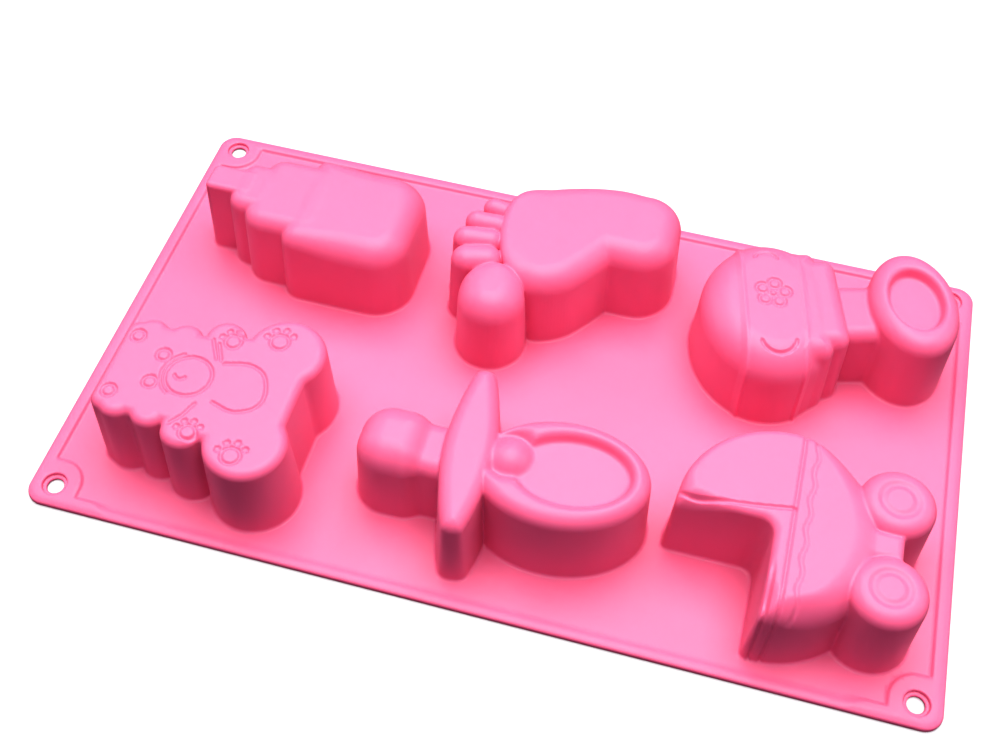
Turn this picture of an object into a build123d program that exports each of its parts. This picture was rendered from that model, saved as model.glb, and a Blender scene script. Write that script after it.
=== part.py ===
from build123d import *
import os

# Six-cavity silicone mould with nursery shapes, lying cavity side down on its rim.
# Millimetres. z = 0 is the rim face, +Z points to the closed ends of the cavities,
# +X runs along the long side and +Y away from the front side.
# It is one moulding: each node is a region of it, cut where two moulded forms meet.

# ---- plate ----
PLATE_LENGTH = 295.0
PLATE_WIDTH = 174.5
PLATE_CORNER_R = 6.0
SHEET_T = 1.6
BORDER_T = 2.6
BORDER_WIDTH = 4.2
PAD_SIZE = 16.5
PAD_INNER_R = 9.0
HOLE_INSET_X = 8.0
HOLE_INSET_Y = 7.3
HOLE_R = 2.75
COUNTERBORE_R = 4.0
COUNTERBORE_DEPTH = 1.3

# ---- cavities ----
TOP_Z = 33.0
WALL = 1.9
DRAFT_ANGLE = 2.5
FLOOR_SINK = 1.0          # how far a cutter starts below the rim face
MIN_EDGE_R = 0.6
BRIDGE_DROP = 3.0         # how far a passage between two forms stays below their top
COLLAR_EASE = 1.0         # spare wall left beside a passage

# ---- bottle ----
BOTTLE_Y = 38.5
# name, left end, right end, half width, left corner radius, right corner radius, top edge radius
BOTTLE_FORMS = [
    ("bottle_body", -97.0, -51.0, 23.0, 6.5, 14.0, 4.5),
    ("bottle_collar_wide", -113.0, -93.0, 18.5, 6.5, 0, 3.0),
    ("bottle_collar_narrow", -120.5, -108.5, 12.5, 5.5, 0, 2.5),
    ("bottle_teat", -130.5, -116.0, 7.0, 5.0, 0, 2.5),
]
# left end, right end, half width
BOTTLE_PASSAGES = [
    (-104.0, -88.0, 15.0),
    (-117.0, -104.0, 9.0),
    (-124.0, -117.0, 4.5),
]

# ---- foot ----
FOOT_EDGE_R = 6.5
# size along X, size along Y, corner radius, centre, turn
BALL = (42.0, 50.0, 18.0, (-8.0, 45.5), 10.0)
ARCH = (34.0, 36.0, 10.0, (8.5, 57.0), 6.0)
HEEL_CENTRE = (22.0, 59.0)
HEEL_HALF = (18.0, 17.3)
BIG_TOE = (24.0, 28.5, 11.0, (-18.5, 18.2), -4.0)
# name, tip, turn, length, half width, top edge radius, step below the sole's top
SMALL_TOES = [
    ("foot_second_toe", (-37.0, 27.3), 14.0, 24.0, 6.2, 3.4, 0.5),
    ("foot_third_toe", (-39.0, 37.3), 6.0, 20.0, 5.2, 2.8, 1.0),
    ("foot_fourth_toe", (-37.0, 46.5), 0.0, 17.0, 4.8, 2.6, 1.5),
    ("foot_little_toe", (-32.5, 55.2), -8.0, 15.0, 4.5, 2.4, 2.0),
]
# left end, right end, near side, far side of the hollows between the toes and the sole
TOE_PASSAGES = [
    (-22.0, -14.0, 20.0, 40.0),
    (-32.0, -20.0, 27.5, 33.5),
    (-34.5, -22.0, 36.2, 40.2),
    (-32.5, -22.0, 45.0, 48.2),
    (-29.0, -20.0, 52.8, 55.6),
]

# ---- rattle, in its own frame: X along its handle ----
RATTLE_CENTRE = (74.6, 36.8)
RATTLE_ANGLE = 16.0
GLOBE_HALF = (24.5, 29.4)
GLOBE_EDGE_R = 7.0
COLLAR_START = 8.0
COLLAR_END = 25.0
COLLAR_HALF = 19.8
COLLAR_CORNER_R = 5.5
NECK_START = 20.0
NECK_END = 40.0
NECK_HALF = 12.5
NECK_TOP_Z = 26.0
RATTLE_RING_X = 48.6
RATTLE_RING_HALF = (16.0, 23.0)
RATTLE_DISH_HALF = (9.0, 12.0)
DISH_DEPTH = 3.0
RING_EDGE_R = 3.4

# ---- bib ----
BIB_AXIS_Y = -47.0
BIB_EDGE_R = 2.5
TAIL_X = (-129.5, -99.5)
TAIL_HALF = 19.0
TAIL_CORNER_R = 5.5
CHEST_X = (-103.0, -64.0)
CHEST_HALF = 22.0
# centre x, distance of the centre from the axis, radius: three scallops and the lobe
BIB_ROUNDS = [
    (-119.8, 14.0, 6.9),
    (-108.5, 14.8, 7.0),
    (-95.8, 18.4, 8.0),
    (-75.0, 17.9, 14.6),
]

# ---- pacifier ----
# size along X, size along Y, corner radius, top edge radius, centre
TEAT_CENTRE = (-32.0, -48.3)
TEAT_HALF = (12.5, 13.0)
TEAT_CORNER_R = (11.0, 8.5)      # at its left and right end
TEAT_EDGE_R = 6.5
NECK = (22.0, 21.0, 6.0, 3.5, (-18.0, -48.0))
NECK_DROP = 4.0
KNOB = (20.0, 19.0, 9.0, 5.0, (4.5, -46.5))
SHIELD_CENTRE = (-8.0, -47.0)
SHIELD_ANGLE = 5.0
SHIELD_HALF_LENGTH = 30.5
SHIELD_WAIST = 9.0        # half length of the shield's thick middle
SHIELD_MIDDLE_HALF = 8.8
SHIELD_TIP_HALF = 4.6
SHIELD_CORNER_R = 4.0
SHIELD_EDGE_R = 2.4
PACIFIER_RING_CENTRE = (22.0, -48.0)
PACIFIER_RING_ANGLE = 6.0
PACIFIER_RING_HALF = (28.5, 20.5)
PACIFIER_DISH_HALF = (18.0, 13.0)
PACIFIER_DISH_SHIFT = (3.0, 0.5)
# left end, right end, near side, far side
NECK_PASSAGE = (-28.0, -10.0, -55.5, -40.5)
KNOB_PASSAGE = (-8.0, 6.0, -53.0, -40.0)

# ---- carriage ----
CARRIAGE_CENTRE = (89.0, -46.5)
CARRIAGE_R = 33.0
CARRIAGE_EDGE_R = 2.5
OPEN_QUARTER = (86.0, -49.0)     # corner of the quarter that is left out of the disc
OPEN_CORNER_R = 2.0
TRIM_X = (93.0, 98.0)
WHEEL_R = 13.0
WHEEL_EDGE_R = 3.0
WHEEL_X = 122.5
WHEEL_NEAR_Y = -61.2
WHEEL_FAR_Y = -31.0
AXLE = (19.0, 12.0, 0, 1.0, (117.5, -46.2))
AXLE_DROP = 2.0
AXLE_PASSAGE = (112.0, 125.0, -56.0, -37.0)

# ---- where the sheet is divided between the six cavities ----
ROW_CUT_Y = -5.0
FAR_CUTS_X = (-46.0, 45.0)
NEAR_CUTS_X = (-52.5, 53.0)


def shrunk(outline, amount):
    """The outline moved inwards by amount, with the same corners."""
    return offset(outline, -amount, kind=Kind.INTERSECTION)


def leaning_block(outline, top_z, edge_r):
    """Solid standing on the sheet: its walls lean in by the draft and its top edge is round."""
    block = extrude(Pos(0, 0, SHEET_T) * outline.face(), top_z - SHEET_T, taper=DRAFT_ANGLE)
    top_edges = block.faces().sort_by(Axis.Z)[-1].edges()
    return fillet(top_edges, edge_r)


class Form:
    """One moulded form: its outer solid, the hollow inside it and its hole in the sheet.

    The solids are made about the outline's own origin and then moved to place.
    """

    def __init__(self, name, outline, edge_r, top_z=TOP_Z, place=Pos(0, 0), lining=None):
        if lining is None:
            lining = shrunk(outline, WALL)
        inner_r = max(edge_r - WALL, MIN_EDGE_R)
        self.name = name
        self.outer = place * leaning_block(outline, top_z, edge_r)
        self.inner = place * leaning_block(lining, top_z - WALL, inner_r)
        self.mouth = place * extrude(Pos(0, 0, -FLOOR_SINK) * lining, SHEET_T + FLOOR_SINK)


def passage(outline, top_z=TOP_Z - WALL - BRIDGE_DROP):
    """A straight hollow from below the rim face up to top_z, which joins two forms inside."""
    return extrude(Pos(0, 0, -FLOOR_SINK) * outline, top_z + FLOOR_SINK)


def bar(x_from, x_to, y_from, y_to):
    """Rectangle between two corners."""
    centre = Pos((x_from + x_to) / 2, (y_from + y_to) / 2)
    return Sketch() + centre * Rectangle(x_to - x_from, y_to - y_from)


def round_bar(x_from, x_to, y_mid, half_width, left_r, right_r):
    """Rectangle along X with its own corner radius at each end, or a sharp end for 0."""
    face = bar(x_from, x_to, y_mid - half_width, y_mid + half_width)
    if left_r:
        face = fillet(face.vertices().group_by(Axis.X)[0], left_r)
    if right_r:
        face = fillet(face.vertices().group_by(Axis.X)[-1], right_r)
    return face


def merged(name, forms):
    """Several overlapping forms as one."""
    whole = forms[0]
    whole.name = name
    for form in forms[1:]:
        whole.outer = whole.outer + form.outer
        whole.inner = whole.inner + form.inner
        whole.mouth = whole.mouth + form.mouth
    return whole


def oval_form(name, place, half_x, half_y, edge_r):
    """A form with an elliptical outline."""
    outline = Sketch() + Ellipse(half_x, half_y)
    lining = Sketch() + Ellipse(half_x - WALL, half_y - WALL)
    return Form(name, outline, edge_r, place=place, lining=lining)


def pad_form(name, spec, top_z=TOP_Z):
    """A form with a round-cornered rectangle as outline, from one of the tables above."""
    size_x, size_y, corner_r, edge_r, centre = spec
    if corner_r:
        outline = Sketch() + RectangleRounded(size_x, size_y, corner_r)
    else:
        outline = Sketch() + Rectangle(size_x, size_y)
    return Form(name, outline, edge_r, top_z, Pos(*centre))


def sole_form(name, spec):
    """One turned round-cornered block of the foot."""
    size_x, size_y, corner_r, centre, turn = spec
    outline = Sketch() + RectangleRounded(size_x, size_y, corner_r)
    return Form(name, outline, FOOT_EDGE_R, place=Pos(*centre) * Rot(0, 0, turn))


def toe_form(name, tip, turn, length, half_width, edge_r, drop):
    """A slot-shaped form with one round end at tip, running off at the given turn."""
    outline = Sketch() + SlotCenterToCenter(length - 2 * half_width, 2 * half_width)
    place = Pos(*tip) * Rot(0, 0, turn) * Pos(length / 2, 0)
    return Form(name, outline, edge_r, TOP_Z - drop, place)


def sink_dish(form, place, half_x, half_y):
    """Sink an oval dish into a form's top, with the same wall under it."""
    dish = extrude(Ellipse(half_x, half_y), 2 * DISH_DEPTH)
    seat = extrude(Ellipse(half_x + WALL, half_y + WALL), 2 * DISH_DEPTH)
    form.outer = form.outer - Pos(0, 0, TOP_Z - DISH_DEPTH) * place * dish
    form.inner = form.inner - Pos(0, 0, TOP_Z - DISH_DEPTH - WALL) * place * seat


def shell_nodes(forms, passages):
    """Cut the hollows out of the forms; where two forms overlap, the earlier one keeps the place."""
    hollow = [form.inner for form in forms] + passages
    nodes = {}
    taken = []
    for form in forms:
        solid = form.outer - hollow
        if taken:
            solid = solid - taken
        pieces = solid.solids().sort_by(SortBy.VOLUME)
        nodes[form.name] = pieces[-1]
        taken.append(form.outer)
    return nodes


def bottle():
    forms = []
    for name, x_from, x_to, half, left_r, right_r, edge_r in BOTTLE_FORMS:
        forms.append(Form(name, round_bar(x_from, x_to, BOTTLE_Y, half, left_r, right_r), edge_r))
    passages = []
    for x_from, x_to, half in BOTTLE_PASSAGES:
        passages.append(passage(bar(x_from, x_to, BOTTLE_Y - half, BOTTLE_Y + half)))
    return forms, passages


def foot():
    heel = oval_form("heel", Pos(*HEEL_CENTRE), *HEEL_HALF, FOOT_EDGE_R)
    sole = merged("foot_sole", [sole_form("ball", BALL), sole_form("arch", ARCH), heel])
    forms = [sole, sole_form("foot_big_toe", BIG_TOE)]
    forms += [toe_form(*toe) for toe in SMALL_TOES]
    low = TOP_Z - WALL - 2 * BRIDGE_DROP
    return forms, [passage(bar(*sides), low) for sides in TOE_PASSAGES]


def rattle():
    place = Pos(*RATTLE_CENTRE) * Rot(0, 0, RATTLE_ANGLE)
    ring_place = place * Pos(RATTLE_RING_X, 0)
    globe = oval_form("rattle_globe", place, *GLOBE_HALF, GLOBE_EDGE_R)
    ring = oval_form("rattle_ring", ring_place, *RATTLE_RING_HALF, RING_EDGE_R)
    sink_dish(ring, ring_place, *RATTLE_DISH_HALF)
    collar_outline = round_bar(COLLAR_START, COLLAR_END, 0, COLLAR_HALF, 0, COLLAR_CORNER_R)
    collar = Form("rattle_collar", collar_outline, 3.0, place=place)
    neck_outline = bar(NECK_START, NECK_END, -NECK_HALF, NECK_HALF)
    neck = Form("rattle_neck", neck_outline, 3.5, NECK_TOP_Z, place)
    collar_inside = COLLAR_HALF - WALL - MIN_EDGE_R - COLLAR_EASE
    neck_inside = NECK_HALF - WALL - COLLAR_EASE
    passages = [
        passage(place * bar(COLLAR_START, NECK_START + COLLAR_EASE, -collar_inside, collar_inside)),
        passage(place * bar(NECK_START, NECK_END, -neck_inside, neck_inside), NECK_TOP_Z - WALL - COLLAR_EASE),
    ]
    return [globe, ring, collar, neck], passages


def bib():
    """Two bars for the middle, with round scallops and a large round lobe on both sides."""
    axis = Pos(0, BIB_AXIS_Y)
    blocks = []
    for (x_from, x_to), half, left_r in ((TAIL_X, TAIL_HALF, TAIL_CORNER_R), (CHEST_X, CHEST_HALF, 0)):
        reach = (x_to - x_from) / 2
        outline = round_bar(-reach, reach, 0, half, left_r, 0)
        blocks.append(Form("bar", outline, BIB_EDGE_R, place=axis * Pos(x_from + reach, 0)))
    for x, y, radius in BIB_ROUNDS:
        for side in (-1, 1):
            place = axis * Pos(x, side * y)
            blocks.append(Form("round", Sketch() + Circle(radius), BIB_EDGE_R, place=place))
    return [merged("bib_block", blocks)], []


def shield_form():
    """The pacifier's long shield: thick in the middle, tapering to both tips."""
    points = [
        (SHIELD_TIP_HALF, -SHIELD_HALF_LENGTH),
        (SHIELD_MIDDLE_HALF, -SHIELD_WAIST),
        (SHIELD_MIDDLE_HALF, SHIELD_WAIST),
        (SHIELD_TIP_HALF, SHIELD_HALF_LENGTH),
    ]
    points += [(-x, -y) for x, y in points]
    outline = Sketch() + make_face(Polyline(*points, close=True))
    outline = fillet(outline.vertices(), SHIELD_CORNER_R)
    place = Pos(*SHIELD_CENTRE) * Rot(0, 0, SHIELD_ANGLE)
    return Form("pacifier_shield", outline, SHIELD_EDGE_R, place=place)


def pacifier():
    ring_place = Pos(*PACIFIER_RING_CENTRE) * Rot(0, 0, PACIFIER_RING_ANGLE)
    ring = oval_form("pacifier_ring", ring_place, *PACIFIER_RING_HALF, RING_EDGE_R)
    sink_dish(ring, ring_place * Pos(*PACIFIER_DISH_SHIFT), *PACIFIER_DISH_HALF)
    teat_outline = round_bar(-TEAT_HALF[0], TEAT_HALF[0], 0, TEAT_HALF[1], *TEAT_CORNER_R)
    forms = [
        Form("pacifier_teat", teat_outline, TEAT_EDGE_R, place=Pos(*TEAT_CENTRE)),
        shield_form(),
        pad_form("pacifier_knob", KNOB),
        ring,
        pad_form("pacifier_neck", NECK, TOP_Z - NECK_DROP),
    ]
    neck_inside_z = TOP_Z - NECK_DROP - WALL - COLLAR_EASE
    passages = [passage(bar(*NECK_PASSAGE), neck_inside_z), passage(bar(*KNOB_PASSAGE))]
    return forms, passages


def carriage_body():
    """A disc with one quarter left open."""
    disc = Sketch() + Pos(*CARRIAGE_CENTRE) * Circle(CARRIAGE_R)
    corner_x, corner_y = OPEN_QUARTER
    far = 2 * CARRIAGE_R
    outline = disc - bar(corner_x - far, corner_x, corner_y - far, corner_y)
    outline = fillet(outline.vertices().sort_by_distance(OPEN_QUARTER)[0], OPEN_CORNER_R)
    return Form("carriage_body", outline, CARRIAGE_EDGE_R)


def carriage():
    wheel = Sketch() + Circle(WHEEL_R)
    near = Form("carriage_wheel_near", wheel, WHEEL_EDGE_R, place=Pos(WHEEL_X, WHEEL_NEAR_Y))
    far = Form("carriage_wheel_far", wheel, WHEEL_EDGE_R, place=Pos(WHEEL_X, WHEEL_FAR_Y))
    axle = pad_form("carriage_axle", AXLE, TOP_Z - AXLE_DROP)
    axle_inside_z = TOP_Z - AXLE_DROP - WALL - COLLAR_EASE
    return [carriage_body(), near, far, axle], [passage(bar(*AXLE_PASSAGE), axle_inside_z)]


def split_carriage(body):
    """The carriage's body, divided at its trim band."""
    left, right = CARRIAGE_CENTRE[0] - 2 * CARRIAGE_R, CARRIAGE_CENTRE[0] + 2 * CARRIAGE_R
    slices = {
        "carriage_hood": (left, TRIM_X[0]),
        "carriage_trim": TRIM_X,
        "carriage_basket": (TRIM_X[1], right),
    }
    nodes = {}
    for name, (x_from, x_to) in slices.items():
        block = extrude(bar(x_from, x_to, -PLATE_WIDTH, PLATE_WIDTH), 2 * TOP_Z)
        nodes[name] = (body & block).solids().sort_by(SortBy.VOLUME)[-1]
    return nodes


def sheets(mouths):
    """The thin web inside the border and the corner pads, with one mouth in each of six tiles."""
    half_x = PLATE_LENGTH / 2 - BORDER_WIDTH
    half_y = PLATE_WIDTH / 2 - BORDER_WIDTH
    web = extrude(bar(-half_x, half_x, -half_y, half_y), SHEET_T) - list(corner_blocks().values())
    for mouth in mouths:
        web = web - mouth
    rows = (
        (("bottle", "foot", "rattle"), (-half_x, *FAR_CUTS_X, half_x), (ROW_CUT_Y, half_y)),
        (("bib", "pacifier", "carriage"), (-half_x, *NEAR_CUTS_X, half_x), (-half_y, ROW_CUT_Y)),
    )
    tiles = {}
    for names, cuts, (y_from, y_to) in rows:
        for name, x_from, x_to in zip(names, cuts, cuts[1:]):
            tile = web & extrude(bar(x_from, x_to, y_from, y_to), SHEET_T)
            tiles[f"sheet_{name}"] = tile.solids().sort_by(SortBy.VOLUME)[-1]
    return tiles


def corner_outline(sign_x, sign_y):
    """Square pad in a corner: the plate's own corner radius outside, a large one inside."""
    reach_x = PLATE_LENGTH / 2
    reach_y = PLATE_WIDTH / 2
    outline = Sketch() + Pos(reach_x - PAD_SIZE / 2, reach_y - PAD_SIZE / 2) * Rectangle(PAD_SIZE, PAD_SIZE)
    outline = fillet(outline.vertices().sort_by_distance((reach_x, reach_y))[0], PLATE_CORNER_R)
    outline = fillet(outline.vertices().sort_by_distance((0, 0))[0], PAD_INNER_R)
    if sign_x < 0:
        outline = mirror(outline, about=Plane.YZ)
    if sign_y < 0:
        outline = mirror(outline, about=Plane.XZ)
    return Sketch() + outline


def corner_blocks():
    """The four raised corner pads, before their hanging holes are cut."""
    blocks = {}
    for side_x, sign_x in (("left", -1), ("right", 1)):
        for side_y, sign_y in (("front", -1), ("back", 1)):
            name = f"corner_pad_{side_y}_{side_x}"
            blocks[name] = extrude(corner_outline(sign_x, sign_y), BORDER_T)
    return blocks


def corner_pads():
    """The corner pads with their stepped hanging holes."""
    pads = {}
    for name, block in corner_blocks().items():
        sign_x = -1 if "left" in name else 1
        sign_y = -1 if "front" in name else 1
        x = sign_x * (PLATE_LENGTH / 2 - HOLE_INSET_X)
        y = sign_y * (PLATE_WIDTH / 2 - HOLE_INSET_Y)
        hole = Pos(x, y, BORDER_T / 2) * Cylinder(HOLE_R, 2 * BORDER_T)
        bore_mid = BORDER_T - COUNTERBORE_DEPTH / 2 + FLOOR_SINK / 2
        bore = Pos(x, y, bore_mid) * Cylinder(COUNTERBORE_R, COUNTERBORE_DEPTH + FLOOR_SINK)
        pads[name] = block - hole - bore
    return pads


def borders():
    """The thicker rim strips between the corner pads."""
    half_x = PLATE_LENGTH / 2
    half_y = PLATE_WIDTH / 2
    run_x = half_x - PAD_SIZE
    run_y = half_y - PAD_SIZE
    blocks = list(corner_blocks().values())
    outlines = {
        "border_front": bar(-run_x, run_x, -half_y, -half_y + BORDER_WIDTH),
        "border_back": bar(-run_x, run_x, half_y - BORDER_WIDTH, half_y),
        "border_left": bar(-half_x, -half_x + BORDER_WIDTH, -run_y, run_y),
        "border_right": bar(half_x - BORDER_WIDTH, half_x, -run_y, run_y),
    }
    return {name: extrude(outline, BORDER_T) - blocks for name, outline in outlines.items()}


def main():
    os.makedirs("parts", exist_ok=True)
    nodes = {}
    mouths = []
    for maker in (bottle, foot, rattle, bib, pacifier, carriage):
        forms, passages = maker()
        nodes.update(shell_nodes(forms, passages))
        mouths += [form.mouth for form in forms] + passages
    nodes.update(split_carriage(nodes.pop("carriage_body")))
    nodes.update(sheets(mouths))
    nodes.update(borders())
    nodes.update(corner_pads())
    for name, shape in nodes.items():
        print(name, len(shape.solids()), round(shape.volume, 1))
        export_step(shape.solids()[0], f"parts/{name}.step")


main()
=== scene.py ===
"""Silicone nursery mould, lying open side down on a pale table.

The moulded skin is made from distance fields in plan, given height by a draft and a round top edge,
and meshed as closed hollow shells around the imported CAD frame. Fields work in millimetres.
"""
import math

import bpy
import numpy as np
import openvdb
from mathutils import Matrix, Vector


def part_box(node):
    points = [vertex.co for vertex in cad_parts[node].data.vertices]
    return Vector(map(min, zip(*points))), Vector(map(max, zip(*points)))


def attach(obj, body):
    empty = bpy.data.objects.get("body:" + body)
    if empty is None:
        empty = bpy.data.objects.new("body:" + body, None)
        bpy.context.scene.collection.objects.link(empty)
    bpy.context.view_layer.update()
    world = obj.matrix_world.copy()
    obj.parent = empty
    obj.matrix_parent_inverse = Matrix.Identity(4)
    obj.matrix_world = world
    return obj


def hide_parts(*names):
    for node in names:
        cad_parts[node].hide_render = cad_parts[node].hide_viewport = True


MM = 0.001

# ---- skin; all lengths are in millimetres ----
SHEET_T = 1.6
WALL = 1.9
DRAFT = math.tan(math.radians(2.5))
FOOT_BLEND = 1.3          # size of the fillet between a wall and the sheet
FLARE = 1.3               # how far the fillet runs out over the sheet
SHELL_LOW = 0.25          # the shells end this far above the rim face
SHEET_LAP = 0.9           # how far the sheet reaches into the walls
VOXEL = 0.55
SLOPE_STEP = 0.08         # how far apart a field is sampled for its slope, to each side

# ---- drawn lines ----
LINE_HALF_WIDTH = 0.95
LINE_DEPTH = 0.7

# ---- plate ----
BORDER_T = 2.6
BORDER_WIDTH = 4.2
PLATE_CORNER_R = 6.0
PAD_SIZE = 16.5
PAD_INNER_R = 9.0
HOLE_INSET = (8.0, 7.3)
HOLE_R = 2.75
COUNTERBORE_R = 4.0
COUNTERBORE_FLOOR = 1.3
PLATE_VOXEL = 0.5

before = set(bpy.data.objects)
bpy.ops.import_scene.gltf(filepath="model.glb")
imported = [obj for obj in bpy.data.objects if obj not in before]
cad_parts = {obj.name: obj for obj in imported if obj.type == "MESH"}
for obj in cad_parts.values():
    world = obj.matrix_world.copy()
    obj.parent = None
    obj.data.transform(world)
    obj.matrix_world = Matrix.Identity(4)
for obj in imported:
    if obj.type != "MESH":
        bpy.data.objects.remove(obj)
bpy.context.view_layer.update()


# ---------------------------------------------------------------- distance fields in plan

def span(*nodes):
    """Lowest and highest corner of these CAD nodes together, in millimetres."""
    lows, highs = zip(*(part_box(node) for node in nodes))
    return np.min(lows, axis=0) / MM, np.max(highs, axis=0) / MM


def soft_min(a, b, size):
    """Union of two fields with a fillet of about that size."""
    overlap = np.maximum(size - np.abs(a - b), 0.0) / size
    return np.minimum(a, b) - overlap * overlap * size / 4


def soft_max(a, b, size):
    """Intersection of two fields with a rounded edge of about that size."""
    return -soft_min(-a, -b, size)


def ramp(value, start, end):
    """0 before start, 1 after end, smooth between."""
    t = np.clip((value - start) / (end - start), 0.0, 1.0)
    return t * t * (3 - 2 * t)


def circle(x, y, centre, radius):
    return np.hypot(x - centre[0], y - centre[1]) - radius


def ellipse(x, y, half_x, half_y):
    """Near the outline this is the distance to an ellipse about the origin."""
    scaled = np.hypot(x / half_x, y / half_y)
    slope = np.hypot(x / half_x ** 2, y / half_y ** 2) + 1e-9
    return scaled * (scaled - 1) / slope


def box(x, y, x_from, x_to, y_from, y_to, left_r, right_r):
    """Rectangle with one corner radius at its left end and one at its right end."""
    dx = x - (x_from + x_to) / 2
    dy = y - (y_from + y_to) / 2
    radius = np.where(dx < 0, left_r, right_r)
    out_x = np.abs(dx) - (x_to - x_from) / 2 + radius
    out_y = np.abs(dy) - (y_to - y_from) / 2 + radius
    outside = np.hypot(np.maximum(out_x, 0), np.maximum(out_y, 0))
    return outside + np.minimum(np.maximum(out_x, out_y), 0) - radius


def segment(x, y, start, end):
    """Distance to a straight stroke."""
    run_x = end[0] - start[0]
    run_y = end[1] - start[1]
    along = ((x - start[0]) * run_x + (y - start[1]) * run_y) / (run_x ** 2 + run_y ** 2)
    along = np.clip(along, 0.0, 1.0)
    return np.hypot(x - start[0] - along * run_x, y - start[1] - along * run_y)


def arc(x, y, centre, radius, middle, half_angle):
    """Distance to an arc stroke around centre; middle and half_angle are in degrees."""
    turn = math.radians(middle)
    dx = x - centre[0]
    dy = y - centre[1]
    along = dx * math.cos(turn) + dy * math.sin(turn)
    across = np.abs(dy * math.cos(turn) - dx * math.sin(turn))
    end_x = radius * math.cos(math.radians(half_angle))
    end_y = radius * math.sin(math.radians(half_angle))
    inside = along * end_y > across * end_x
    if half_angle > 90:
        inside = (along * end_y > across * end_x) | (along > 0)
    on_ring = np.abs(np.hypot(dx, dy) - radius)
    to_end = np.hypot(along - end_x, across - end_y)
    return np.where(inside, on_ring, to_end)


def polyline(x, y, points):
    """Distance to a stroke of straight runs."""
    return nearest([segment(x, y, start, end) for start, end in zip(points, points[1:])])


def catmull_rom(before, start, end, after, steps):
    """Points of a smooth run from start towards end, without end itself."""
    run = []
    for step in range(steps):
        t = step / steps
        run.append(0.5 * (2 * start + (end - before) * t
                          + (2 * before - 5 * start + 4 * end - after) * t ** 2
                          + (3 * start - before - 3 * end + after) * t ** 3))
    return run


def smooth_loop(points, steps=8):
    """A closed smooth curve through the points, as a list of points."""
    count = len(points)
    knots = np.array(points, dtype=float)
    curve = []
    for i in range(count):
        curve += catmull_rom(*(knots[(i + k) % count] for k in (-1, 0, 1, 2)), steps)
    return curve


def smooth_stroke(points, steps=6):
    """An open smooth curve through the points, as a list of points."""
    knots = [2 * np.array(points[0]) - np.array(points[1])]
    knots += [np.array(point, dtype=float) for point in points]
    knots.append(2 * knots[-1] - knots[-2])
    curve = []
    for before, start, end, after in zip(knots, knots[1:], knots[2:], knots[3:]):
        curve += catmull_rom(before, start, end, after, steps)
    curve.append(knots[-2])
    return curve


def polygon(x, y, points):
    """Signed distance to a closed outline of straight runs."""
    distance = np.full(np.broadcast(x, y).shape, np.inf)
    inside = np.zeros(distance.shape, dtype=bool)
    for start, end in zip(points, points[1:] + points[:1]):
        distance = np.minimum(distance, segment(x, y, start, end))
        if start[1] != end[1]:
            crosses = (start[1] > y) != (end[1] > y)
            at_x = start[0] + (y - start[1]) * (end[0] - start[0]) / (end[1] - start[1])
            inside ^= crosses & (x < at_x)
    return np.where(inside, -distance, distance)


def nearest(fields):
    """The smallest of several fields at each point."""
    result = fields[0]
    for field in fields[1:]:
        result = np.minimum(result, field)
    return result


def turned(x, y, centre, angle):
    """Coordinates in a frame at centre, turned anticlockwise by angle in degrees."""
    turn = math.radians(angle)
    dx = x - centre[0]
    dy = y - centre[1]
    return dx * math.cos(turn) + dy * math.sin(turn), dy * math.cos(turn) - dx * math.sin(turn)


# ---------------------------------------------------------------- giving height

def block(plan, z, top, edge_r):
    """The plan standing on the sheet: walls lean in by the draft and the top edge is round."""
    side = plan + DRAFT * (z - SHEET_T) + edge_r
    up = z - top + edge_r
    outside = np.hypot(np.maximum(side, 0), np.maximum(up, 0))
    return outside + np.minimum(np.maximum(side, up), 0) - edge_r


def groove(distance, half_width, depth):
    """A soft-edged dent along a stroke, to be added to a field."""
    t = np.clip(1 - (distance / half_width) ** 2, 0.0, 1.0)
    return depth * t * t


def dish(plan, z, top, depth, slope):
    """A hollow in a top face with sloping sides, to be cut from a field."""
    side = (plan + slope * (top - z)) / math.hypot(1, slope)
    return soft_max(side, top - depth - z, 1.0)


# ---------------------------------------------------------------- the six forms

# A name that ends in _BOX gives x from, x to, y from and y to of a rectangle in plan. The last
# numbers of a box are its corner radii, and those of a block its height and top edge radius.
TOP = span("bottle_body")[1][2]

BOTTLE_SHOULDER_R = 6.5
BOTTLE_BASE_R = 14.0
BOTTLE_CREASE = 0.8
# node, corner radius, top edge radius and how far it runs on into the next one
BOTTLE_COLLARS = [
    ("bottle_collar_wide", 8.5, 5.5, 14.0),
    ("bottle_collar_narrow", 7.0, 4.5, 8.0),
    ("bottle_teat", 3.5, 1.8, 8.0),
]


def bottle(x, y, z):
    """Feeding bottle on its side: body, two collars and the teat."""
    low, high = span("bottle_body")
    far_side = 3.0 * ramp(y, (low[1] + high[1]) / 2, high[1])
    base_end = 2.5 * ramp(x, low[0] + 4, low[0] + 24)
    plan = box(x, y, low[0], high[0], low[1], high[1], BOTTLE_SHOULDER_R, BOTTLE_BASE_R)
    result = block(plan, z, TOP, 6.0 + base_end + far_side)
    for node, corner_r, edge_r, overlap in BOTTLE_COLLARS:
        low, high = span(node)
        plan = box(x, y, low[0], high[0] + overlap, low[1], high[1], corner_r, corner_r)
        result = soft_min(result, block(plan, z, TOP, edge_r + far_side), BOTTLE_CREASE)
    return result


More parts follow.
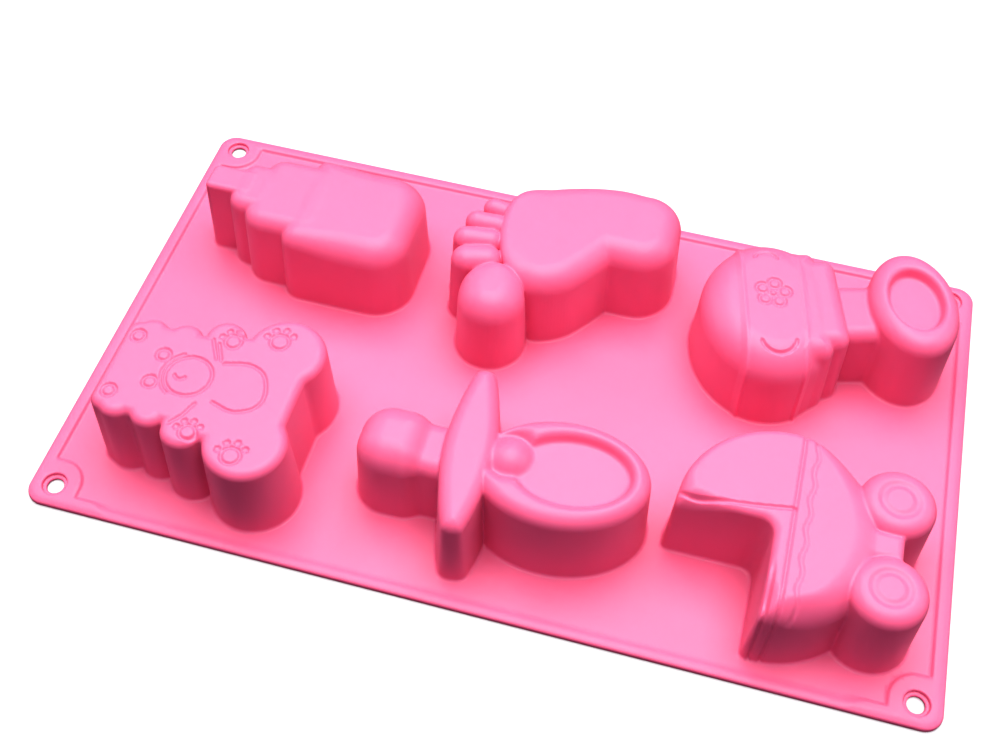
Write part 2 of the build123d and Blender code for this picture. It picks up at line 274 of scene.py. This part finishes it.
# outlines run round the form, in millimetres from the middle of the plate
SOLE_OUTLINE = [
    (-20.5, 32.0), (-14.0, 22.8), (-4.0, 20.3), (5.5, 24.2), (12.5, 32.0), (18.5, 41.0), (26.0, 52.0),
    (33.0, 62.0), (32.0, 71.0), (24.0, 75.8), (12.0, 76.4), (-2.0, 73.2), (-15.0, 67.5), (-23.0, 58.5),
    (-24.0, 45.0),
]
BIG_TOE_OUTLINE = [
    (-31.0, 18.5), (-28.6, 24.0), (-23.2, 28.0), (-18.0, 29.6), (-12.8, 27.4), (-8.0, 23.0),
    (-5.8, 17.0), (-7.4, 10.2), (-12.2, 5.2), (-18.5, 3.6), (-25.0, 5.4), (-29.6, 10.8),
]
HEEL_BOX = (2.0, 39.9, 40.3, 76.4)
HEEL_R = 14.0
# tip, angle, length, half width, top edge radius and height below the sole of each small toe
TOES = [
    ((-37.0, 27.3), 14.0, 20.0, 6.5, 5.0, 0.2),
    ((-39.0, 37.3), 6.0, 20.0, 5.8, 4.6, 0.4),
    ((-37.0, 46.5), 0.0, 18.0, 5.3, 4.2, 0.8),
    ((-32.5, 55.2), -8.0, 14.5, 4.9, 3.8, 1.4),
]


def foot(x, y, z):
    """Sole with a square heel, four small toes and the big toe."""
    heel = box(x, y, *HEEL_BOX, HEEL_R, HEEL_R)
    plan = soft_min(polygon(x, y, smooth_loop(SOLE_OUTLINE)), heel, 1.0)
    sharper_at_toes = 3.0 + 5.0 * ramp(x, -20.0, -8.0)
    result = block(plan, z, TOP, sharper_at_toes)
    for tip, angle, length, half, edge_r, drop in TOES:
        u, v = turned(x, y, tip, angle)
        plan = segment(u, v, (half, 0.0), (length - half, 0.0)) - half
        result = soft_min(result, block(plan, z, TOP - drop, edge_r), 0.7)
    round_at_tip = 9.0 - 5.0 * ramp(y, 16.0, 27.0)
    big = block(polygon(x, y, smooth_loop(BIG_TOE_OUTLINE)), z, TOP, round_at_tip)
    return soft_min(result, big, 0.8)


# the rattle's own frame starts at the middle of its globe and runs along its neck
RATTLE_CENTRE = (74.6, 36.8)
RATTLE_ANGLE = 16.0
GLOBE_HALF = (24.5, 29.4)
SHOULDER_BOX = (4.0, 19.0, -23.6, 23.6)
COLLAR_BOX = (8.0, 25.0, -19.8, 19.8)
NECK_BOX = (18.0, 42.0, -12.5, 12.5)
NECK_TOP = 27.0
RATTLE_RING_ALONG = 48.6
RATTLE_RING_HALF = (16.0, 23.0)
RATTLE_RING_DISH = (9.6, 13.2)
RATTLE_RING_DEPTH = 4.0
BAND_ANGLE = 12.5
BAND_EDGES = (-10.4, 10.2)
BAND_RISE = 0.5
RIB_HALF_WIDTH = 1.7
RIB_RISE = 0.6


def around(centre, distance, angle):
    """The point at that distance and angle, in radians, from centre."""
    return centre[0] + distance * math.cos(angle), centre[1] + distance * math.sin(angle)


def flower(x, y, centre, size, turn):
    """Strokes of a plain five-petal flower: the nearest distance."""
    result = np.abs(circle(x, y, centre, size * 0.22))
    for petal in range(5):
        middle = around(centre, size * 0.62, math.radians(turn + 72 * petal))
        result = np.minimum(result, np.abs(circle(x, y, middle, size * 0.32)))
    return result


def rattle_globe(x, y, z):
    """The globe with its raised band, the band's ribs, a flower and two crescents."""
    u, v = turned(x, y, RATTLE_CENTRE, RATTLE_ANGLE)
    globe = block(ellipse(u, v, *GLOBE_HALF), z, TOP, 11.0)
    across, _ = turned(x, y, RATTLE_CENTRE, BAND_ANGLE)
    left, right = BAND_EDGES
    band = ramp(across, left - 0.6, left + 0.6) * ramp(-across, -right - 0.6, -right + 0.6)
    ribs = groove(across - left, RIB_HALF_WIDTH, RIB_RISE) + groove(across - right, RIB_HALF_WIDTH, RIB_RISE)
    flatter_on_top = 1 - 0.4 * ramp(z, TOP - 8, TOP - 2)
    globe = globe - (BAND_RISE * band + ribs) * flatter_on_top
    strokes = [
        flower(x, y, (74.0, 39.0), 6.4, 20.0),
        arc(x, y, (78.5, 21.0), 6.0, -75.0, 75.0),
        arc(x, y, (69.5, 52.5), 4.0, 100.0, 70.0),
    ]
    return globe + groove(nearest(strokes), LINE_HALF_WIDTH, LINE_DEPTH) * ramp(z, TOP - 9, TOP - 6)


def rattle(x, y, z):
    """Rattle: globe, two steps down to the neck, and a ring with a sunk middle."""
    u, v = turned(x, y, RATTLE_CENTRE, RATTLE_ANGLE)
    shoulder = block(box(u, v, *SHOULDER_BOX, 0.5, 5.0), z, TOP, 6.0)
    collar = block(box(u, v, *COLLAR_BOX, 0.5, 5.5), z, TOP, 5.0)
    neck = block(box(u, v, *NECK_BOX, 1.0, 1.0), z, NECK_TOP, 4.5)

    ring_u = u - RATTLE_RING_ALONG
    ring = block(ellipse(ring_u, v, *RATTLE_RING_HALF), z, TOP, 5.5)
    hollow = dish(ellipse(ring_u, v, *RATTLE_RING_DISH), z, TOP, RATTLE_RING_DEPTH, 0.3)
    ring = soft_max(ring, -hollow, 1.6)

    result = soft_min(rattle_globe(x, y, z), shoulder, 1.0)
    result = soft_min(result, collar, 0.9)
    result = soft_min(result, neck, 1.2)
    return soft_min(result, ring, 1.5)


# place along the bib, distance from its axis and radius of the rounds on both sides
BIB_ROUNDS = [(-119.8, 14.0, 6.9), (-108.5, 14.8, 7.0), (-95.8, 18.4, 8.0), (-75.0, 17.9, 14.6)]
BIB_NECK_END = -95.0
BIB_NECK_HALF = 19.0
BIB_CHEST = (-103.0, -64.0)
BIB_CHEST_HALF = 22.0
TOY_HEAD = (-101.0, -46.7)
TOY_MUZZLE = (-103.7, -46.5)
# outline of the toy's body, open towards its head
TOY_BODY = [(-92.0, -39.0), (-84.0, -37.3), (-78.0, -40.0), (-75.0, -47.0), (-76.0, -52.0),
            (-80.0, -55.0), (-84.0, -55.7), (-90.0, -54.0)]
TOY_ARMS = [((-99.0, -31.0), (-95.0, -38.0)), ((-96.5, -32.0), (-93.5, -38.0)),
            ((-95.0, -56.0), (-97.0, -61.0)), ((-97.0, -61.0), (-100.0, -65.0))]
# centre and size of each paw
PAWS = [(-92.5, -30.0, 2.6), (-78.0, -26.0, 3.0), (-93.0, -66.5, 2.6), (-77.0, -71.0, 3.0)]
BUBBLES = [(-123.0, -36.0), (-112.0, -41.0), (-112.0, -52.0), (-123.0, -58.5)]


def paw(x, y, centre, size):
    """Strokes of a plain paw: a pad and four small toes beside it."""
    result = np.abs(circle(x, y, centre, size))
    for toe in range(4):
        middle = around(centre, size * 1.6, math.radians(40 + 42 * toe))
        result = np.minimum(result, np.maximum(circle(x, y, middle, size * 0.2), 0))
    return result


def bib_drawing(x, y):
    """Line drawing of a plain toy and some paws: the nearest distance to a stroke."""
    strokes = [
        np.abs(circle(x, y, TOY_HEAD, 7.5)),
        arc(x, y, TOY_HEAD, 8.9, 180.0, 60.0),
        arc(x, y, TOY_MUZZLE, 2.0, -90.0, 60.0),
        polyline(x, y, smooth_stroke(TOY_BODY)),
    ]
    strokes += [segment(x, y, start, end) for start, end in TOY_ARMS]
    strokes += [paw(x, y, (cx, cy), size) for cx, cy, size in PAWS]
    strokes += [np.abs(circle(x, y, centre, 2.2)) for centre in BUBBLES]
    return nearest(strokes)


def bib(x, y, z):
    """Bib with rounded lobes on both sides and a line drawing on its top."""
    low, high = span("bib_block")
    axis = (low[1] + high[1]) / 2
    plan = box(x, y, low[0], BIB_NECK_END, axis - BIB_NECK_HALF, axis + BIB_NECK_HALF, 5.5, 0.5)
    chest = box(x, y, *BIB_CHEST, axis - BIB_CHEST_HALF, axis + BIB_CHEST_HALF, 0.5, 0.5)
    plan = soft_min(plan, chest, 2.0)
    for cx, offset, radius in BIB_ROUNDS:
        for side in (-1, 1):
            plan = soft_min(plan, circle(x, y, (cx, axis + side * offset), radius), 1.0)
    result = block(plan, z, TOP, 3.0)
    on_top = ramp(z, TOP - 2.0, TOP - 1.0)
    return result + groove(bib_drawing(x, y), LINE_HALF_WIDTH, LINE_DEPTH) * on_top


TEAT_CENTRE = (-32.0, -48.3)
TEAT_BOX = (-12.5, 12.5, -13.0, 13.0)
TEAT_NECK_BOX = (-30.0, -4.0, -58.5, -37.5)
SHIELD_CENTRE = (-8.0, -47.0)
SHIELD_ANGLE = 5.0
# one side of the shield: half width and place along it
SHIELD_SIDE = [
    (2.8, -30.8), (5.3, -27.0), (7.9, -16.0), (9.3, -5.0), (9.3, 5.0), (7.9, 16.0), (5.3, 27.0), (2.8, 30.8),
]
RING_CENTRE = (22.0, -48.0)
RING_ANGLE = 6.0
RING_HALF = (28.5, 20.5)
RING_DISH_CENTRE = (2.8, 0.4)
RING_DISH_HALF = (19.5, 13.4)
RING_DEPTH = 3.6
KNOB_CENTRE = (4.8, -46.2)
KNOB_R = 9.2


def pacifier(x, y, z):
    """Pacifier: teat and neck, shield, knob and a ring with a sunk middle."""
    teat_plan = box(x - TEAT_CENTRE[0], y - TEAT_CENTRE[1], *TEAT_BOX, 11.0, 9.0)
    teat = block(teat_plan, z, TOP, 9.0)
    neck = block(box(x, y, *TEAT_NECK_BOX, 4.0, 4.0), z, TOP - 4.0, 5.0)

    u, v = turned(x, y, SHIELD_CENTRE, SHIELD_ANGLE)
    outline = SHIELD_SIDE + [(-across, along) for across, along in reversed(SHIELD_SIDE)]
    shield = block(polygon(u, v, smooth_loop(outline)), z, TOP + 0.3, 4.6)

    knob_plan = circle(x, y, KNOB_CENTRE, KNOB_R)
    knob = block(knob_plan, z, TOP + 0.5, 8.0)

    u, v = turned(x, y, RING_CENTRE, RING_ANGLE)
    ring = block(ellipse(u, v, *RING_HALF), z, TOP, 5.0)
    dish_plan = ellipse(u - RING_DISH_CENTRE[0], v - RING_DISH_CENTRE[1], *RING_DISH_HALF)
    hollow = dish(dish_plan, z, TOP, RING_DEPTH, 0.5)
    around_knob = dish(knob_plan - 0.9, z, TOP, RING_DEPTH, 0.8)
    hollow = soft_min(hollow, around_knob, 1.5)
    ring = soft_max(ring, -hollow, 1.8)

    result = soft_min(teat, neck, 1.5)
    result = soft_min(result, shield, 0.8)
    result = soft_min(result, ring, 0.8)
    return soft_min(result, knob, 1.6)


CARRIAGE_CENTRE = (89.0, -46.5)
CARRIAGE_R = 33.0
RECESS_CORNER = (86.0, -49.0)
HOOD_EDGE = [(57.0, -44.4), (62.0, -45.8), (70.0, -45.6), (80.0, -44.6), (92.0, -42.6)]
# place of each line beside the open quarter, and whether it runs over the whole top
RIM_LINES = [(88.8, False), (92.2, True)]
TRIM_X = 96.5
TRIM_WAVE = 0.5
WHEEL_X = 122.5
WHEEL_R = 13.0
HUB_LINE_INSET = 7.8
AXLE_BOX = (108.0, 127.0, -52.2, -40.2)


def carriage_body(x, y, z):
    """Round hood and basket with the open quarter, the trim and the drawn edges."""
    disc = circle(x, y, CARRIAGE_CENTRE, CARRIAGE_R)
    recess = soft_max(x - RECESS_CORNER[0], y - RECESS_CORNER[1], 5.0)
    plan = soft_max(disc, -recess, 2.0)
    far_tip = ramp(-x, -76.0, -60.0) * ramp(-y, 36.0, 48.0)
    near_tip = ramp(-y, 64.0, 76.0) * ramp(-x, -112.0, -96.0)
    edge_r = 2.6 + 8.5 * ramp(x, 92.0, 112.0) + 5.0 * far_tip + 6.0 * near_tip
    body = block(plan, z, TOP, edge_r)
    lip = groove(recess + 1.6, 1.8, 0.5) * ramp(z, TOP - 3.0, TOP - 1.0)
    trim_x = TRIM_X + TRIM_WAVE * np.sin((y + 46.0) * 0.62)
    body = body - lip + groove(x - trim_x, 1.1, 0.4) * ramp(z, TOP - 10.0, TOP - 6.0)
    for line_x, runs_through in RIM_LINES:
        shown = 1.0 if runs_through else ramp(-y, 60.0, 66.0)
        body = body + groove(x - line_x, LINE_HALF_WIDTH, 0.6) * shown
    hood_line = polyline(x, y, smooth_stroke(HOOD_EDGE))
    return body + groove(hood_line, 1.0, 0.75) * ramp(z, TOP - 5.0, TOP - 3.0)


def carriage(x, y, z):
    """Baby carriage on its side: body, two wheels with a line round the hub, and the axle."""
    result = carriage_body(x, y, z)
    for node in ("carriage_wheel_near", "carriage_wheel_far"):
        low, high = span(node)
        plan = circle(x, y, (WHEEL_X, (low[1] + high[1]) / 2), WHEEL_R)
        hub_line = groove(plan + HUB_LINE_INSET, 1.8, 0.5) * ramp(z, TOP - 2.5, TOP - 1.5)
        result = soft_min(result, block(plan, z, TOP, 4.6) + hub_line, 1.0)
    axle = block(box(x, y, *AXLE_BOX, 2.0, 2.0), z, TOP - 2.0, 2.5)
    return soft_min(result, axle, 1.0)


# ---------------------------------------------------------------- meshing

def field_slope(field, points):
    """Gradient of a field at each point."""
    slope = np.empty_like(points)
    for i in range(3):
        shift = np.zeros(3)
        shift[i] = SLOPE_STEP
        ahead = field(*(points + shift).T)
        behind = field(*(points - shift).T)
        slope[:, i] = (ahead - behind) / (2 * SLOPE_STEP)
    return slope


def mesh_from_field(name, field, low, high, voxel, adaptivity=0.0):
    """Closed mesh of field < 0, with its normals taken from the field."""
    axes = [np.arange(low[i], high[i] + voxel, voxel) for i in range(3)]
    x, y, z = np.meshgrid(*axes, indexing="ij", sparse=True)
    values = np.broadcast_to(field(x, y, z), [len(axis) for axis in axes])
    grid = openvdb.FloatGrid(10.0)
    grid.copyFromArray(np.ascontiguousarray(values, dtype=np.float32))
    points, triangles, quads = grid.convertToPolygons(isovalue=0.0, adaptivity=adaptivity)
    points = points.astype(float) * voxel + np.array(low)

    normals = field_slope(field, points)
    steepness = np.maximum(np.linalg.norm(normals, axis=1, keepdims=True), 1e-6)
    normals /= steepness
    furthest = 0.25 * voxel
    miss = np.clip(field(*points.T) / steepness[:, 0], -furthest, furthest)
    points -= normals * miss[:, None]

    faces = [tuple(face) for face in triangles] + [tuple(face) for face in quads]
    mesh = bpy.data.meshes.new(name)
    mesh.from_pydata((points * MM).tolist(), [], faces)
    mesh.update()
    sample = mesh.polygons[0]
    if np.dot(sample.normal, normals[sample.vertices[0]]) < 0:
        mesh.flip_normals()
    mesh.polygons.foreach_set("use_smooth", [True] * len(mesh.polygons))
    mesh.normals_split_custom_set_from_vertices(normals.tolist())
    piece = bpy.data.objects.new(name, mesh)
    bpy.context.scene.collection.objects.link(piece)
    return piece


def shell(name, form, nodes, material):
    """A form's hollow skin, with its fillet running out over the sheet."""
    def field(x, y, z):
        skin = form(x, y, z)
        outside = soft_min(skin, z - SHEET_T, FOOT_BLEND)
        outside = np.maximum(outside, skin - FLARE)
        hollow = skin + WALL
        return np.maximum(np.maximum(outside, -hollow), SHELL_LOW - z)

    low, high = span(*nodes)
    margin = 4.0
    low = (low[0] - margin, low[1] - margin, -1.0)
    high = (high[0] + margin, high[1] + margin, TOP + 2.0)
    piece = mesh_from_field(name, field, low, high, VOXEL)
    finish_piece(piece, material, nodes)


def finish_piece(piece, material, nodes):
    """Material, body and the CAD nodes that the piece stands for."""
    piece.data.materials.append(material)
    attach(piece, "root")
    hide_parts(*nodes)


FORMS = {
    "bottle_shell": (bottle, ["bottle_body", "bottle_collar_wide", "bottle_collar_narrow", "bottle_teat"]),
    "foot_shell": (foot, ["foot_sole", "foot_big_toe", "foot_second_toe", "foot_third_toe",
                          "foot_fourth_toe", "foot_little_toe"]),
    "rattle_shell": (rattle, ["rattle_globe", "rattle_collar", "rattle_neck", "rattle_ring"]),
    "bib_shell": (bib, ["bib_block"]),
    "pacifier_shell": (pacifier, ["pacifier_teat", "pacifier_neck", "pacifier_shield", "pacifier_knob",
                                  "pacifier_ring"]),
    "carriage_shell": (carriage, ["carriage_hood", "carriage_trim", "carriage_basket", "carriage_axle",
                                  "carriage_wheel_near", "carriage_wheel_far"]),
}
PLATE_NODES = [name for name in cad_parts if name.startswith(("sheet", "border", "corner"))]


def plate_field(x, y, z):
    """The sheet with its raised border, corner pads and stepped hanging holes."""
    low, high = span(*PLATE_NODES)
    outline = box(x, y, low[0], high[0], low[1], high[1], PLATE_CORNER_R, PLATE_CORNER_R)
    web = box(x, y, low[0] + BORDER_WIDTH, high[0] - BORDER_WIDTH,
              low[1] + BORDER_WIDTH, high[1] - BORDER_WIDTH, 0.5, 0.5)
    pad_x = np.abs(x - (low[0] + high[0]) / 2) - (high[0] - low[0]) / 2 + PAD_SIZE / 2
    pad_y = np.abs(y - (low[1] + high[1]) / 2) - (high[1] - low[1]) / 2 + PAD_SIZE / 2
    reach = PAD_SIZE / 2
    pad = box(pad_x, pad_y, -reach, 3 * reach, -reach, 3 * reach, PAD_INNER_R, 0.5)
    web = soft_max(web, -pad, 0.8)

    slab = soft_max(outline, z - SHEET_T, 0.8)
    near_side = ramp(-y, -low[1] - 14.0, -low[1] - 6.0) * ramp(-np.abs(x), 22.0 - high[0], 30.0 - high[0])
    step = 0.8 + 4.0 * near_side
    rim = soft_max(soft_max(outline, z - BORDER_T, 2.6), -web, step)
    plate = soft_min(slab, rim, 1.2)
    plate = soft_max(plate, -z, 0.5)

    hole_x = pad_x - reach + HOLE_INSET[0]
    hole_y = pad_y - reach + HOLE_INSET[1]
    hole = np.hypot(hole_x, hole_y)
    plate = soft_max(plate, HOLE_R - hole, 0.5)
    bore = np.maximum(hole - COUNTERBORE_R, COUNTERBORE_FLOOR - z)
    return soft_max(plate, -bore, 0.6)


def mouths(x, y, z):
    """Where the sheet is open under the six forms."""
    return nearest([form(x, y, z) for form, _ in FORMS.values()]) + SHEET_LAP


def plate(material):
    """The sheet, border and corner pads as one closed piece, open at the mouths."""
    def field(x, y, z):
        at_sheet_top = np.full_like(z, SHEET_T)
        return np.maximum(plate_field(x, y, z), -mouths(x, y, at_sheet_top))

    low, high = span(*PLATE_NODES)
    low = (low[0] - 2.0, low[1] - 2.0, -1.5)
    high = (high[0] + 2.0, high[1] + 2.0, BORDER_T + 1.5)
    piece = mesh_from_field("plate", field, low, high, PLATE_VOXEL, adaptivity=0.02)
    finish_piece(piece, material, PLATE_NODES)


# ---------------------------------------------------------------- material, light, camera

def silicone():
    """Pink moulded silicone: soft satin, light runs a little way into it."""
    material = bpy.data.materials.new("pink_silicone")
    material.use_nodes = True
    nodes = material.node_tree.nodes
    links = material.node_tree.links
    shader = nodes["Principled BSDF"]
    shader.inputs["Roughness"].default_value = 0.45
    shader.inputs["IOR"].default_value = 1.42
    shader.inputs["Subsurface Weight"].default_value = 0.2
    shader.inputs["Subsurface Radius"].default_value = (1.0, 0.25, 0.35)
    shader.inputs["Subsurface Scale"].default_value = 0.003

    position = nodes.new("ShaderNodeNewGeometry")
    cloud = nodes.new("ShaderNodeTexNoise")
    cloud.inputs["Scale"].default_value = 35.0
    cloud.inputs["Detail"].default_value = 3.0
    links.new(position.outputs["Position"], cloud.inputs["Vector"])
    tint = nodes.new("ShaderNodeMix")
    tint.data_type = "RGBA"
    tint.inputs["A"].default_value = (0.70, 0.133, 0.252, 1)
    tint.inputs["B"].default_value = (0.73, 0.139, 0.262, 1)
    links.new(cloud.outputs["Fac"], tint.inputs["Factor"])
    links.new(tint.outputs["Result"], shader.inputs["Base Color"])

    grain = nodes.new("ShaderNodeTexNoise")
    grain.inputs["Scale"].default_value = 1500.0
    grain.inputs["Detail"].default_value = 2.0
    links.new(position.outputs["Position"], grain.inputs["Vector"])
    bump = nodes.new("ShaderNodeBump")
    bump.inputs["Strength"].default_value = 0.15
    bump.inputs["Distance"].default_value = 0.0001
    links.new(grain.outputs["Fac"], bump.inputs["Height"])
    links.new(bump.outputs["Normal"], shader.inputs["Normal"])
    return material


def floor():
    """Plain white table, which neither lights the mould nor shows in its gloss."""
    material = bpy.data.materials.new("white_table")
    material.use_nodes = True
    shader = material.node_tree.nodes["Principled BSDF"]
    shader.inputs["Base Color"].default_value = (0.45, 0.45, 0.45, 1)
    shader.inputs["Roughness"].default_value = 0.9
    shader.inputs["Emission Color"].default_value = (1, 1, 1, 1)
    shader.inputs["Emission Strength"].default_value = 0.25
    bpy.ops.mesh.primitive_plane_add(size=4)
    table = bpy.context.object
    table.name = "table"
    table.data.materials.append(material)
    table.visible_diffuse = False
    table.visible_glossy = False


def softbox(name, location, size, power, colour=(1, 1, 1)):
    """Square area light that looks at the middle of the mould."""
    data = bpy.data.lights.new(name, "AREA")
    data.shape = "SQUARE"
    data.size = size
    data.energy = power
    data.color = colour
    light = bpy.data.objects.new(name, data)
    bpy.context.scene.collection.objects.link(light)
    light.location = location
    light.rotation_euler = (-Vector(location)).to_track_quat("-Z", "Y").to_euler()


CAMERA_AZIMUTH = 13.651
CAMERA_ELEVATION = 54.140
CAMERA_ROLL = 1.815
CAMERA_DISTANCE = 0.45424
CAMERA_TARGET = (-0.01134, 0.00383, 0.0)
CAMERA_LENS = 46.55


def camera():
    """The photograph's viewpoint, from the perspective of the rim corners."""
    azimuth = math.radians(CAMERA_AZIMUTH)
    elevation = math.radians(CAMERA_ELEVATION)
    roll = math.radians(CAMERA_ROLL)
    back = Vector((math.sin(azimuth) * math.cos(elevation), -math.cos(azimuth) * math.cos(elevation),
                   math.sin(elevation)))
    right = Vector((0, 0, 1)).cross(back).normalized()
    up = back.cross(right)
    rolled_right = math.cos(roll) * right + math.sin(roll) * up
    rolled_up = math.cos(roll) * up - math.sin(roll) * right
    data = bpy.data.cameras.new("camera")
    data.lens = CAMERA_LENS
    data.sensor_width = 36.0
    data.clip_start = 0.01
    viewer = bpy.data.objects.new("camera", data)
    bpy.context.scene.collection.objects.link(viewer)
    pose = Matrix((rolled_right, rolled_up, back)).transposed().to_4x4()
    pose.translation = Vector(CAMERA_TARGET) + back * CAMERA_DISTANCE
    viewer.matrix_world = pose
    bpy.context.scene.camera = viewer


def lights():
    """Soft studio light: a large softbox overhead, a little behind, and weak fills round it."""
    softbox("overhead", (0.0, 0.22, 1.3), 1.4, 47.5)
    for side in (-1, 1):
        softbox("side", (0.9 * side, 0.25, 0.55), 0.6, 3.5)
    softbox("front", (0.0, -0.9, 0.6), 0.8, 2.0, colour=(1.0, 0.5, 0.8))
    world = bpy.data.worlds.new("studio")
    world.use_nodes = True
    background = world.node_tree.nodes["Background"]
    background.inputs["Color"].default_value = (1.0, 0.7, 1.0, 1)
    background.inputs["Strength"].default_value = 0.13
    bpy.context.scene.world = world


# ---------------------------------------------------------------- scene

bpy.context.scene.view_settings.view_transform = "Standard"
bpy.context.scene.view_settings.gamma = 0.8
camera()
lights()
floor()
pink = silicone()
for shell_name, (form, nodes) in FORMS.items():
    shell(shell_name, form, nodes, pink)
plate(pink)
